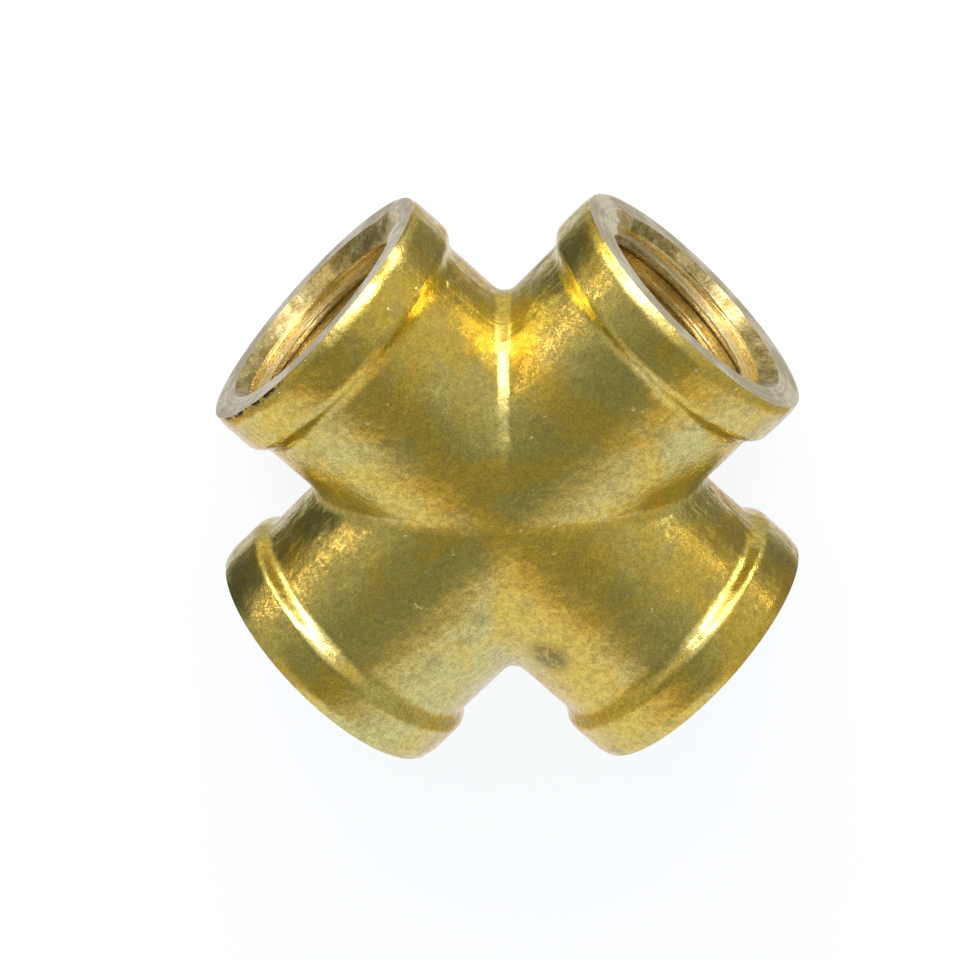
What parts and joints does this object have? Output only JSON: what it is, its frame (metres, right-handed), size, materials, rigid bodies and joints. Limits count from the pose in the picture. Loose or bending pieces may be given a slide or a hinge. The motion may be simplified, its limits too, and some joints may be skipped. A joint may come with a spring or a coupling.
{
  "type": "pipe cross",
  "caption": "Threaded pipe cross: a cast brass body whose arms meet at right angles in one plane, each with a raised end band and a female taper-threaded port.",
  "frame": {"origin": "where the port axes cross, at the centre of the body", "axes": "+X and +Y point out of two neighbouring ports, +Z is normal to the plane of the ports; the cross lies flat on its four bands"},
  "size_m": [0.0422, 0.0422, 0.023],
  "materials": {
    "cast_brass": "as-cast tumbled skin, mottled olive to yellow with light tarnish; bare machined end faces and threads"
  },
  "bodies": {
    "root": {"cross_body": "cast_brass"}
  },
  "joints": []
}
